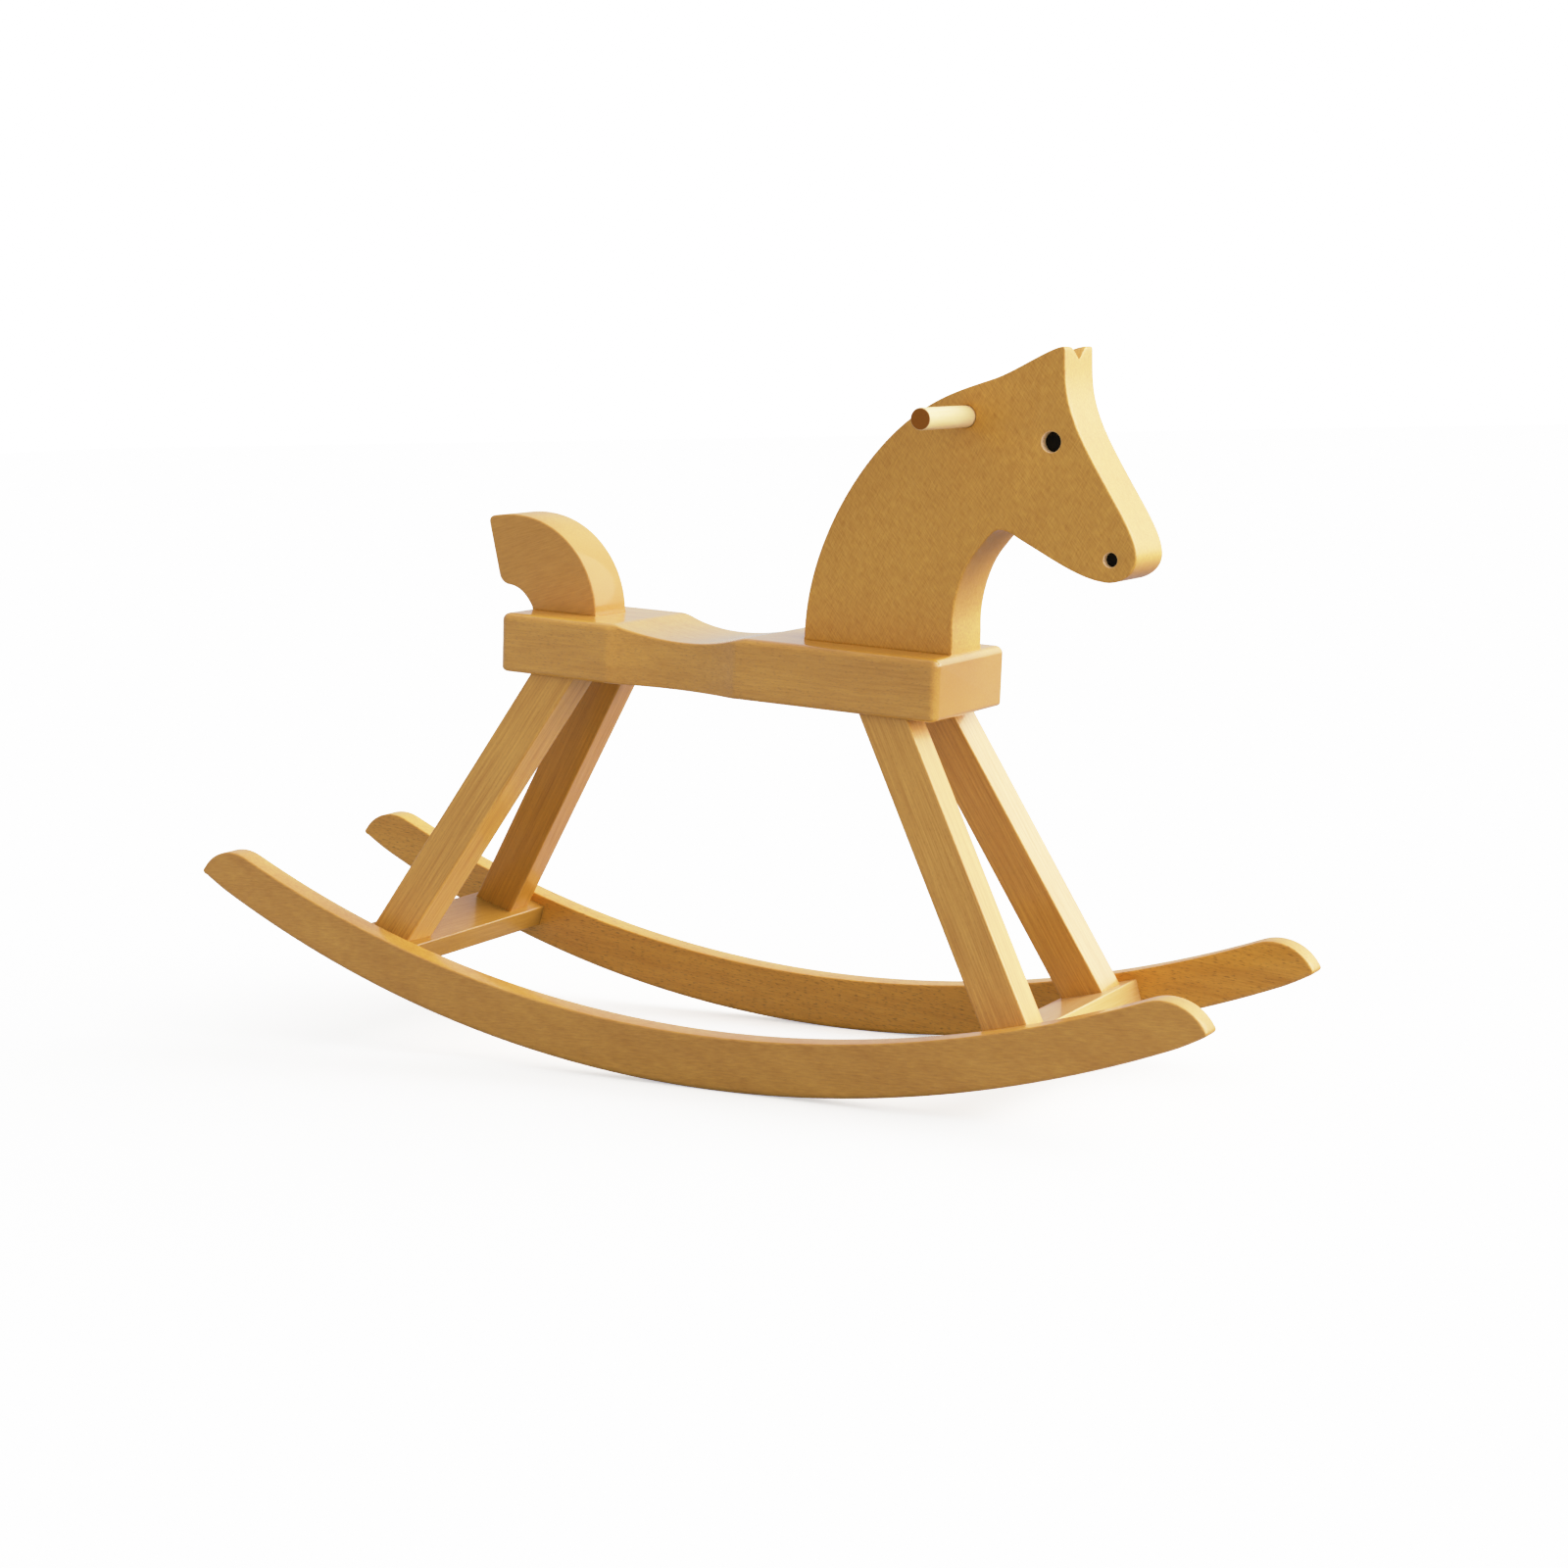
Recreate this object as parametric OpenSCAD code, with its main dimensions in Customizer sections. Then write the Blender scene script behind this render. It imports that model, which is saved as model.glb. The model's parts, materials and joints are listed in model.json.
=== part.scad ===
// Child's rocking horse in solid beech: a seat beam on four raked legs, with a board-cut head
// and tail standing on it, and two curved rockers held apart by two foot boards.
// X runs towards the nose, Y to the horse's left and Z up, in millimetres.
// Every piece is drawn with the rockers level, x = 0 at the middle of their curve and z = 0 where
// they touch the floor. rested() then leans the horse to its point of balance, and puts the origin
// on the floor, midway between the rockers' four tips.

/* [Stance] */
// Nose-down lean at which the horse balances, in degrees
rest_pitch = 4.1; // [0:0.1:5]

/* [Rockers] */
// Radius of the running edge
run_r = 955; // [920:5:990]
// Radius of the hollow top edge
crown_r = 965; // [960:1:980]
// Depth of a rocker at its middle
rocker_depth = 39.5; // [38:0.5:42]
// Thickness of a rocker
rocker_t = 18; // [16:0.5:22]
// Distance over the rockers' outer faces
track_w = 219; // [210:1:235]
// Reach of the rockers ahead of the middle of their curve
reach_front = 431.5; // [415:0.5:440]
// Reach of the rockers behind the middle of their curve
reach_rear = 412.5; // [400:0.5:425]
// Radius that rounds off the rockers' ends
end_r = 35; // [30:1:36]
// Radius worked on the running edge's two corners
run_edge_r = 3.5; // [1:0.5:5]

/* [Foot boards] */
// Width of a foot board, fore and aft
board_w = 45; // [40:1:50]
// Thickness of a foot board
board_t = 17.5; // [16:0.5:18]
// Height of a foot board's top face over the running edge
board_rise = 31; // [29.5:0.5:32]
// Place of the front foot board along the rockers' curve, in degrees
board_front_a = 17.4; // [17:0.1:17.8]
// Place of the rear foot board along the rockers' curve, in degrees
board_rear_a = -15.4; // [-15.8:0.1:-15]

/* [Legs] */
// Width of a leg, fore and aft
leg_w = 33; // [30:0.5:36]
// Thickness of a leg, side to side
leg_t = 28; // [24:0.5:30]
// Fore-and-aft slope of the legs, in degrees
leg_rake = 30.6; // [29:0.1:32]
// Outward slope of the legs, in degrees
leg_splay = 8.2; // [7:0.1:9]
// Where the front legs meet the seat, ahead of the rockers' middle
leg_front_x = 154.5; // [148:0.5:158]
// Where the rear legs meet the seat
leg_rear_x = -122; // [-126:0.5:-118]
// Distance of each leg's middle from the centre line, at the seat
leg_y = 35; // [32:0.5:36]

/* [Seat] */
// Length of the seat beam
seat_l = 366.5; // [354:0.5:376]
// Width of the seat beam
seat_w = 106.5; // [98:0.5:110]
// Thickness of the seat beam
seat_t = 44; // [42:0.5:48]
// Height of the seat beam's underside above the level floor
seat_z = 273.5; // [269:0.5:280]
// Place of the seat's middle, ahead of the rockers' middle
seat_x = 15.5; // [14:0.5:17]
// Depth of the hollow that the child sits in
dip_d = 9; // [4:0.5:12]
// Depth of the waist on each side
waist_d = 10; // [4:0.5:12]
// Radius on the seat's upper edges
seat_edge_r = 5.5; // [2:0.5:8]

/* [Head and tail] */
// Thickness of the head board
head_t = 46; // [38:0.5:48]
// Place of the back of the neck, ahead of the rockers' middle
head_x = 76.3; // [74:0.1:78]
// Thickness of the tail board
tail_t = 41; // [32:0.5:44]
// Place of the tail's heel
tail_x = -164.2; // [-164.5:0.1:-160]
// Diameter of the hand grip
grip_d = 15; // [12:0.5:18]
// Length of the hand grip
grip_l = 180; // [150:1:200]
// Diameter of the eyes
eye_d = 14; // [10:0.5:16]
// Diameter of the nostrils
nostril_d = 9.8; // [7:0.2:12]
// Depth at which the eye plugs are set
eye_sink = 6; // [2:0.5:8]
// Depth at which the nostril plugs are set
nostril_sink = 4.5; // [2:0.5:6]

/* [Joinery] */
// Diameter of the dowels in the legs, foot boards and tail
dowel_d = 8; // [6:0.5:9]
// Diameter of the dowels under the neck
neck_dowel_d = 10; // [8:0.5:12]
// Room for glue around a dowel
glue_gap = 0.1; // [0.05:0.05:0.3]

/* [Hidden] */
$fn = 48;

right = -1;                        // side of the horse, as a sign on Y
left = 1;
front = 1;                         // end of the horse, as a sign on X
rear = -1;
wide = 600;                        // size of a block that trims a whole piece
curve_fn = 720;                    // facets of the rockers' large circles
curve_steps = 10;                  // points along each stretch of an outline

beech = "#cf9c52";
beech_light = "#e2c48c";
black = "#1b1613";

seat_top = seat_z + seat_t;
seat_low_r = 3.5;                  // radius on the seat's lower edges
seat_corner_r = 6;                 // radius on the seat's upright corners
dip_l = 111;                       // length of the hollow
dip_x = -13.5;                     // place of its deepest line
waist_l = 110;                     // length of the waist
waist_x = -17.5;                   // place of its narrowest line
rocker_y = track_w / 2 - rocker_t; // inner face of a rocker
crown_z = rocker_depth + crown_r;  // centre of the rockers' top edge
ring_depth = 3 * rocker_depth;     // depth of the ring that the rockers are trimmed to
end_lap = 0.03;                    // how far an end disc laps over the top edge's circle
wedge_reach = 1.2;                 // length of the middle wedge's sides against the end discs' places
end_dowel_x = 11;                  // each rocker dowel's distance from its board's middle
end_dowel_l = 28;
end_dowel_in = 11;                 // length of it inside the rocker
foot_dowel_x = 7;                  // each foot dowel's distance from its leg's middle
foot_dowel_l = 36;
foot_dowel_in = 12;                // length of it inside the foot board
seat_dowel_x = 8;
seat_dowel_l = 50;
neck_dowel_l = 50;
neck_dowel_x = [20, 58.75, 97.5];  // places along the neck's foot
tail_dowel_l = 36;
tail_dowel_x = [18, 42];           // places along the tail's foot
dowel_end_gap = 1;                 // room beyond a dowel's end
grip_at = [120, 164];              // on the head board, from the foot of the neck
grip_edge = 1;                     // bevel on the grip's ends
grip_thin = 0.2;                   // how much less its radius is inside the head
grip_clear = 0.5;                  // how far the thin length runs past the head on each side
eye_at = [184.5, 150.5];
nostril_at = [232, 75];
plug_t = 3;                        // thickness of the eye and nostril plugs
ear_notch_w = 22;
ear_notch_d = 9;
ear_top = 214.3;
notch_cutter = 1.5;                // size of the notch's cutter against the notch

// Outlines as pen strokes, seen from the horse's right. Each row is a point x, z, the heading of
// the edge there in degrees, and how hard the curve is pulled before and after the point.
mane_line = [[0, 0, 92, 0, 62], [72.5, 156.5, 40, 49, 30], [138.5, 190, 19, 26, 19],
    [191, ear_top, 4, 11, 0]];
face_line = [[191, ear_top, -85, 0, 22], [210.5, 147, -58, 38, 38], [250.5, 79, -83, 16, 13],
    [231, 59.5, 180, 7, 19], [167, 82.5, 155, 27, 10], [148.5, 89, 185, 7, 5],
    [132.5, 73, -129, 11, 18], [117, 20, -87, 15, 11], [117.5, 0, -90, 10, 0]];
tail_line = [[3, 0, 118, 0, 9], [-19.5, 17, 178, 11, 4], [-28.5, 23.5, 106, 4, 0],
    [-38.7, 63.2, 104, 0, 4], [-33.2, 68.8, 8, 4, 8], [-1.8, 69.6, -9, 14, 37], [60, 0, -89, 33, 0]];

function on_curve(a, b, t) = let (
    start = [a[0], a[1]],
    finish = [b[0], b[1]],
    pull_out = start + a[4] * [cos(a[2]), sin(a[2])],
    pull_in = finish - b[3] * [cos(b[2]), sin(b[2])])
    pow(1 - t, 3) * start + 3 * pow(1 - t, 2) * t * pull_out
    + 3 * (1 - t) * t * t * pull_in + pow(t, 3) * finish;

function traced(line) = [for (i = [0:len(line) - 2], k = [0:curve_steps - 1])
    on_curve(line[i], line[i + 1], k / curve_steps)];

function last_point(line) = [line[len(line) - 1][0], line[len(line) - 1][1]];

// Radius of an arc that is this long across its ends and this deep
function arc_r(across, depth) = (across * across / 4 + depth * depth) / (2 * depth);

// Height of the running edge at a distance along the level rocker
function run_z(x) = run_r - sqrt(run_r * run_r - x * x);

// Where two circles cross, on the side of the line from p to q that the sign gives
function crossing(p, p_r, q, q_r, side) = let (
    gap = norm(q - p),
    along = (q - p) / gap,
    h = (p_r * p_r - q_r * q_r + gap * gap) / (2 * gap),
    w = sqrt(p_r * p_r - h * h))
    p + h * along + side * w * [-along[1], along[0]];

function leg_x(fore) = fore == front ? leg_front_x : leg_rear_x;
function board_a(fore) = fore == front ? board_front_a : board_rear_a;

// Length of a leg's middle line, from the seat's underside to the foot board
function leg_l(fore) = let (
    a = board_a(fore),
    upward = [-sin(a), cos(a)],
    downhill = [fore * sin(leg_rake), -cos(leg_rake) * cos(leg_splay)])
    ([leg_x(fore), seat_z - run_r] * upward + run_r - board_rise) / -(downhill * upward);

// Stand and place

module rested() {
    mid_x = ((reach_front - reach_rear) * cos(rest_pitch)
        + (run_z(reach_front) + run_z(reach_rear)) * sin(rest_pitch)) / 2;
    translate([-mid_x, 0, run_r * (1 - cos(rest_pitch))]) rotate([0, rest_pitch, 0]) children();
}

// Draws an outline in the upright X-Z plane as a board of thickness t, centred on y = 0
module board_cut(t) rotate([90, 0, 0]) linear_extrude(t, center = true) children();

module at_head() translate([head_x, 0, seat_top]) children();
module at_tail() translate([tail_x, 0, seat_top]) children();

// Origin at a leg's middle line under the seat, with the leg running down Z
module at_leg(fore, side) translate([leg_x(fore), side * leg_y, seat_z])
    rotate([side * leg_splay, 0, 0]) rotate([0, -fore * leg_rake, 0]) children();

// Origin at the middle of a foot board's top face
module at_board(fore) translate([0, 0, run_r]) rotate([0, -board_a(fore), 0])
    translate([0, 0, board_rise - run_r]) children();

// Joinery

module dowel(d, l) cylinder(d = d, h = l, center = true);
module dowel_hole(d, l) cylinder(d = d + 2 * glue_gap, h = l + 2 * dowel_end_gap, center = true);

module at_seat_dowels(fore, side) at_leg(fore, side)
    for (s = [-1, 1]) translate([s * seat_dowel_x, 0, 0]) children();

module at_foot_dowels(fore, side) at_leg(fore, side)
    for (s = [-1, 1]) translate([s * foot_dowel_x, 0, foot_dowel_l / 2 - foot_dowel_in - leg_l(fore)])
        children();

module at_rocker_dowels(fore, side) at_board(fore)
    for (s = [-1, 1]) translate([s * end_dowel_x, side * (rocker_y + end_dowel_in - end_dowel_l / 2),
        -board_t / 2]) rotate([90, 0, 0]) children();

module at_neck_dowels() at_head() for (x = neck_dowel_x) translate([x, 0, 0]) children();
module at_tail_dowels() at_tail() for (x = tail_dowel_x) translate([x, 0, 0]) children();

module seat_dowels(fore, side) color(beech_light) rested()
    at_seat_dowels(fore, side) dowel(dowel_d, seat_dowel_l);

module foot_dowels(fore, side) color(beech_light) rested()
    at_foot_dowels(fore, side) dowel(dowel_d, foot_dowel_l);

module rocker_dowels(fore, side) color(beech_light) rested()
    at_rocker_dowels(fore, side) dowel(dowel_d, end_dowel_l);

module neck_dowels() color(beech_light) rested() at_neck_dowels() dowel(neck_dowel_d, neck_dowel_l);
module tail_dowels() color(beech_light) rested() at_tail_dowels() dowel(dowel_d, tail_dowel_l);

// Seat

// Section standing on y = 0 with its upper and lower corners rounded
module eased_section(w, h, top_r, low_r) {
    for (s = [-1, 1]) {
        translate([s * (w / 2 - top_r), h - top_r]) circle(top_r);
        translate([s * (w / 2 - low_r), low_r]) circle(low_r);
    }
    translate([-w / 2, low_r]) square([w, h - top_r - low_r]);
    translate([top_r - w / 2, h - 2 * top_r]) square([w - 2 * top_r, 2 * top_r]);
    translate([low_r - w / 2, 0]) square([w - 2 * low_r, 2 * low_r]);
}

module seat_blank() translate([seat_x, 0, seat_z]) intersection() {
    translate([0, -seat_w / 2, 0]) linear_extrude(seat_t)
        eased_section(seat_l, seat_w, seat_corner_r, seat_corner_r);
    board_cut(seat_w) eased_section(seat_l, seat_t, seat_edge_r, seat_low_r);
    rotate([0, 0, 90]) board_cut(seat_l) eased_section(seat_w, seat_t, seat_edge_r, seat_low_r);
}

module seat_dip() {
    r = arc_r(dip_l, dip_d);
    translate([dip_x, 0, seat_top - dip_d + r]) rotate([90, 0, 0])
        cylinder(r = r, h = wide, center = true, $fn = curve_fn / 2);
}

module seat_waist(side) {
    r = arc_r(waist_l, waist_d);
    translate([waist_x, side * (seat_w / 2 - waist_d + r), seat_z + seat_t / 2])
        cylinder(r = r, h = 2 * seat_t, center = true, $fn = curve_fn / 2);
}

module seat() color(beech) rested() difference() {
    seat_blank();
    seat_dip();
    for (side = [right, left]) {
        seat_waist(side);
        for (fore = [rear, front]) at_seat_dowels(fore, side) dowel_hole(dowel_d, seat_dowel_l);
    }
    at_neck_dowels() dowel_hole(neck_dowel_d, neck_dowel_l);
    at_tail_dowels() dowel_hole(dowel_d, tail_dowel_l);
}

// Head

// Origin on a side of the head board, with Z pointing out of it
module at_cheek(place, side) at_head() translate([place[0], side * head_t / 2, place[1]])
    rotate([-side * 90, 0, 0]) children();

module ear_notch() translate([mane_line[2][0], 0, ear_top]) rotate([90, 0, 90]) linear_extrude(wide)
    translate([0, -ear_notch_d]) scale(notch_cutter)
        polygon([[0, 0], [ear_notch_w / 2, ear_notch_d], [-ear_notch_w / 2, ear_notch_d]]);

module plug_hole(d, sink) translate([0, 0, -sink - plug_t]) cylinder(d = d, h = sink + plug_t + 1);

module plug(d, sink) translate([0, 0, -sink - plug_t]) cylinder(d = d - 2 * glue_gap, h = plug_t);

module head() color(beech) rested() difference() {
    at_head() difference() {
        board_cut(head_t) polygon(concat(traced(mane_line), traced(face_line),
            [last_point(face_line)]));
        ear_notch();
        translate([grip_at[0], 0, grip_at[1]]) rotate([90, 0, 0])
            cylinder(d = grip_d + 2 * glue_gap, h = 2 * head_t, center = true);
    }
    for (side = [right, left]) {
        at_cheek(eye_at, side) plug_hole(eye_d, eye_sink);
        at_cheek(nostril_at, side) plug_hole(nostril_d, nostril_sink);
    }
    at_neck_dowels() dowel_hole(neck_dowel_d, neck_dowel_l);
}

module eye(side) color(black) rested() at_cheek(eye_at, side) plug(eye_d, eye_sink);
module nostril(side) color(black) rested() at_cheek(nostril_at, side) plug(nostril_d, nostril_sink);

// Half of the grip's outline: it is turned a little thinner where it is glued into the head
function grip_half() = let (
    r = grip_d / 2,
    waist = head_t / 2 + grip_clear)
    [[r - grip_thin, 0], [r - grip_thin, waist], [r, waist], [r, grip_l / 2 - grip_edge],
        [r - grip_edge, grip_l / 2], [0, grip_l / 2]];

module hand_grip() color(beech_light) rested() at_head()
    translate([grip_at[0], 0, grip_at[1]]) rotate([90, 0, 0]) for (s = [0, 1])
        mirror([0, 0, s]) rotate_extrude() polygon(concat([[0, 0]], grip_half()));

// Tail

module tail() color(beech) rested() difference() {
    at_tail() board_cut(tail_t) polygon(concat(traced(tail_line), [last_point(tail_line)]));
    at_tail_dowels() dowel_hole(dowel_d, tail_dowel_l);
}

// Legs and foot boards

module leg(fore, side) color(beech) rested() difference() {
    at_leg(fore, side) cube([leg_w, leg_t, 2 * leg_l(fore) + wide], center = true);
    translate([-wide, -wide, seat_z]) cube([2, 2, 1] * wide);
    at_board(fore) translate([-wide, -wide, -wide]) cube([2, 2, 1] * wide);
    at_seat_dowels(fore, side) dowel_hole(dowel_d, seat_dowel_l);
    at_foot_dowels(fore, side) dowel_hole(dowel_d, foot_dowel_l);
}

module foot_board(fore) color(beech) rested() difference() {
    at_board(fore) translate([-board_w / 2, -rocker_y, -board_t]) cube([board_w, 2 * rocker_y, board_t]);
    for (side = [right, left]) {
        at_foot_dowels(fore, side) dowel_hole(dowel_d, foot_dowel_l);
        at_rocker_dowels(fore, side) dowel_hole(dowel_d, end_dowel_l);
    }
}

// Rockers

// Middle of the disc that rounds off one end: it meets the top edge and passes through the tip
function end_centre(fore) = let (reach = fore == front ? reach_front : reach_rear)
    crossing([fore * reach, run_z(reach)], end_r, [0, crown_z], crown_r + end_r - end_lap, fore);

module end_disc(fore) translate(end_centre(fore)) circle(end_r, $fn = curve_fn / 4);

// Wedge between the two lines along which the end discs meet the top edge
module middle_wedge() polygon([[0, crown_z], for (fore = [rear, front])
    [0, crown_z] + wedge_reach * (end_centre(fore) - [0, crown_z])]);

module rocker_outline() difference() {
    intersection() {
        translate([0, run_r]) circle(run_r, $fn = curve_fn);
        union() {
            middle_wedge();
            end_disc(front);
            end_disc(rear);
        }
    }
    translate([0, crown_z]) circle(crown_r, $fn = curve_fn);
}

// Ring of the rocker's thickness whose running edge has its two corners rounded over
module running_ring() translate([0, 0, run_r]) rotate([90, 0, 0]) rotate_extrude($fn = curve_fn)
    translate([run_r, 0]) rotate(90) eased_section(rocker_t, ring_depth, run_edge_r, run_edge_r);

module rocker(side) color(beech) rested() difference() {
    translate([0, side * (track_w - rocker_t) / 2, 0]) intersection() {
        board_cut(rocker_t) rocker_outline();
        running_ring();
    }
    for (fore = [rear, front]) at_rocker_dowels(fore, side) dowel_hole(dowel_d, end_dowel_l);
}

seat();
head();
tail();
hand_grip();
eye(right);  // eye_right
eye(left);  // eye_left
nostril(right);  // nostril_right
nostril(left);  // nostril_left
leg(front, right);  // leg_front_right
leg(front, left);  // leg_front_left
leg(rear, right);  // leg_rear_right
leg(rear, left);  // leg_rear_left
foot_board(front);  // foot_board_front
foot_board(rear);  // foot_board_rear
rocker(right);  // rocker_right
rocker(left);  // rocker_left
neck_dowels();
tail_dowels();
seat_dowels(front, right);  // seat_dowels_front_right
seat_dowels(front, left);  // seat_dowels_front_left
seat_dowels(rear, right);  // seat_dowels_rear_right
seat_dowels(rear, left);  // seat_dowels_rear_left
foot_dowels(front, right);  // foot_dowels_front_right
foot_dowels(front, left);  // foot_dowels_front_left
foot_dowels(rear, right);  // foot_dowels_rear_right
foot_dowels(rear, left);  // foot_dowels_rear_left
rocker_dowels(front, right);  // rocker_dowels_front_right
rocker_dowels(front, left);  // rocker_dowels_front_left
rocker_dowels(rear, right);  // rocker_dowels_rear_right
rocker_dowels(rear, left);  // rocker_dowels_rear_left
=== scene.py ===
import json
import math
import bmesh
import bpy
import numpy as np
from mathutils import Matrix, Vector
from mathutils.geometry import delaunay_2d_cdt


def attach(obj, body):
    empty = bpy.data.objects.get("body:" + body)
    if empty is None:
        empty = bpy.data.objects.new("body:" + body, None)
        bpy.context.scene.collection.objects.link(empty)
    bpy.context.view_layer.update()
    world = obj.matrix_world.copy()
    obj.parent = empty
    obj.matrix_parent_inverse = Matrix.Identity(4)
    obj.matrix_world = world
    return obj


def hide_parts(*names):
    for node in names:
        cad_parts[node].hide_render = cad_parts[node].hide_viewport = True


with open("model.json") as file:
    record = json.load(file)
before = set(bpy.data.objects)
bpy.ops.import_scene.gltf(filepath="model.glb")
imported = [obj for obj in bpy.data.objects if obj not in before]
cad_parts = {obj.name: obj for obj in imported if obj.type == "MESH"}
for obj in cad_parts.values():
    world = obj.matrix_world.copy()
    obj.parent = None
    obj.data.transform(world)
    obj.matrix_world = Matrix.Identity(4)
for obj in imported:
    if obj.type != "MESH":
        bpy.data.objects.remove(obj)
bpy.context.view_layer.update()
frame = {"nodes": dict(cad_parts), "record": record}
print("frame loaded:", len(frame["nodes"]), "nodes")

# Beech rocking horse. Pieces are worked out in millimetres on level rockers, x towards the nose,
# y to the horse's left and z up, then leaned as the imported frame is.

stance = {
    "mount": "seat_front_end",             # flat face on the seat beam's front end
    "mountAt": (198.75, 295.5),            # the same face on the level horse, x and z
    "runRadius": 955.0,                    # radius of the rockers' running edge
}

mount = next(m for m in frame["record"]["mounts"] if m["name"] == stance["mount"])
lean = math.atan2(-mount["axis"][2], mount["axis"][0])
leanCos, leanSin = math.cos(lean), math.sin(lean)
midX = stance["mountAt"][0] * leanCos + stance["mountAt"][1] * leanSin - 1000 * mount["pos_m"][0]


def toRest(points):
    # turns by the lean about y, then lifts the rolled circle back on to the floor; result in metres
    x, y, z = points[:, 0], points[:, 1], points[:, 2]
    lift = stance["runRadius"] * (1 - leanCos)
    along, up = x * leanCos + z * leanSin - midX, z * leanCos - x * leanSin + lift
    return np.column_stack([along, y, up]) / 1000


def arcPoints(centre, radius, fromAngle, toAngle, count):
    # circle: centre + radius * (cos a, sin a), a running evenly in degrees
    a = np.radians(np.linspace(fromAngle, toAngle, count))
    return np.column_stack([centre[0] + radius * np.cos(a), centre[1] + radius * np.sin(a)])


def penStroke(rows, count=60):
    # cubic Bezier between neighbouring rows (x, z, heading, pull in, pull out), pulled along the headings
    rows = np.array(rows, float)
    t = np.linspace(0, 1, count, endpoint=False)[:, None]
    parts = []
    for a, b in zip(rows[:-1], rows[1:]):
        aDir = np.array([math.cos(math.radians(a[2])), math.sin(math.radians(a[2]))])
        bDir = np.array([math.cos(math.radians(b[2])), math.sin(math.radians(b[2]))])
        p0, p1, p2, p3 = a[:2], a[:2] + a[4] * aDir, b[:2] - b[3] * bDir, b[:2]
        parts.append((1 - t) ** 3 * p0 + 3 * (1 - t) ** 2 * t * p1 + 3 * (1 - t) * t * t * p2 + t ** 3 * p3)
    parts.append(rows[-1:, :2])
    return np.vstack(parts)


def softened(values, sigma, step):
    # circular convolution with a Gaussian of this width, along a closed, evenly spaced loop
    n = len(values)
    k = np.fft.fftfreq(n, d=step)
    window = np.exp(-2 * (np.pi * k * sigma) ** 2)
    shaped = values if values.ndim == 2 else values[:, None]
    out = np.real(np.fft.ifft(np.fft.fft(shaped, axis=0) * window[:, None], axis=0))
    return out if values.ndim == 2 else out[:, 0]


def evenLoop(points, step, corner, flatBelow=None):
    # the closed outline at equal spacing, its corners eased by a Gaussian about as wide as their radius;
    # what lies below flatBelow stays as drawn, because it is let into another piece
    closed = np.vstack([points, points[:1]])
    length = np.concatenate([[0], np.cumsum(np.hypot(*np.diff(closed, axis=0).T))])
    count = int(round(length[-1] / step))
    at = np.linspace(0, length[-1], count, endpoint=False)
    even = np.column_stack([np.interp(at, length, closed[:, 0]), np.interp(at, length, closed[:, 1])])
    eased = softened(even, corner, length[-1] / count)
    if flatBelow is None:
        return eased
    blend = 4.0                                # mm over which the easing comes in
    share = np.clip((even[:, 1:] - flatBelow) / blend, 0, 1)
    return even * (1 - share) + eased * share


def inwards(loop):
    # unit normals of a closed loop, pointing to its inside, and the bend (1 / radius) at each point
    ahead, behind = np.roll(loop, -1, axis=0), np.roll(loop, 1, axis=0)
    tangent = ahead - behind
    step = np.hypot(*tangent.T)[:, None]
    tangent = tangent / step
    area = np.sum(loop[:, 0] * ahead[:, 1] - ahead[:, 0] * loop[:, 1])
    side = 1 if area > 0 else -1
    normal = side * np.column_stack([-tangent[:, 1], tangent[:, 0]])
    bend = np.sum((ahead + behind - 2 * loop) * normal, axis=1) / (step[:, 0] / 2) ** 2
    return normal, bend


def gridFaces(rows, columns, offset=0):
    # quads of a rows x columns grid whose columns close into a ring
    r, c = np.meshgrid(np.arange(rows - 1), np.arange(columns), indexing="ij")
    nextC = (c + 1) % columns
    below, above = r * columns, (r + 1) * columns
    quads = np.stack([below + c, below + nextC, above + nextC, above + c], -1)
    return [tuple(q) for q in (quads.reshape(-1, 4) + offset).tolist()]


def cappedTube(grid):
    # a tube of rings with a flat face over each end
    rows, columns = grid.shape[:2]
    faces = gridFaces(rows, columns)
    faces.append(tuple(range(columns)))
    faces.append(tuple(range((rows - 1) * columns, rows * columns)))
    return grid.reshape(-1, 3), faces


def flatCap(loops, indexes, holes):
    # Delaunay triangles inside the first loop and outside the round holes, as rows of vertex indexes
    flat = np.vstack(loops)
    edges, start = [], 0
    for loop in loops:
        n = len(loop)
        edges += [(start + i, start + (i + 1) % n) for i in range(n)]
        start += n
    made = delaunay_2d_cdt([Vector(p) for p in flat], edges, [], 0, 1e-6)
    source = np.array([o[0] for o in made[3]])
    triangles = source[np.array(made[2])]
    middle = flat[triangles].mean(axis=1)
    a, b = loops[0], np.roll(loops[0], -1, axis=0)
    crosses = (a[None, :, 1] > middle[:, 1:]) != (b[None, :, 1] > middle[:, 1:])
    rise = np.where(b[:, 1] == a[:, 1], 1, b[:, 1] - a[:, 1])
    edgeX = a[:, 0] + (middle[:, 1:] - a[:, 1]) * (b[:, 0] - a[:, 0]) / rise
    keep = np.sum(crosses & (middle[:, :1] < edgeX), axis=1) % 2 == 1
    for hole in holes:
        keep &= np.hypot(middle[:, 0] - hole["at"][0], middle[:, 1] - hole["at"][1]) > hole["rim"]
    return [tuple(t) for t in np.concatenate(indexes)[triangles[keep]].tolist()]


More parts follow.
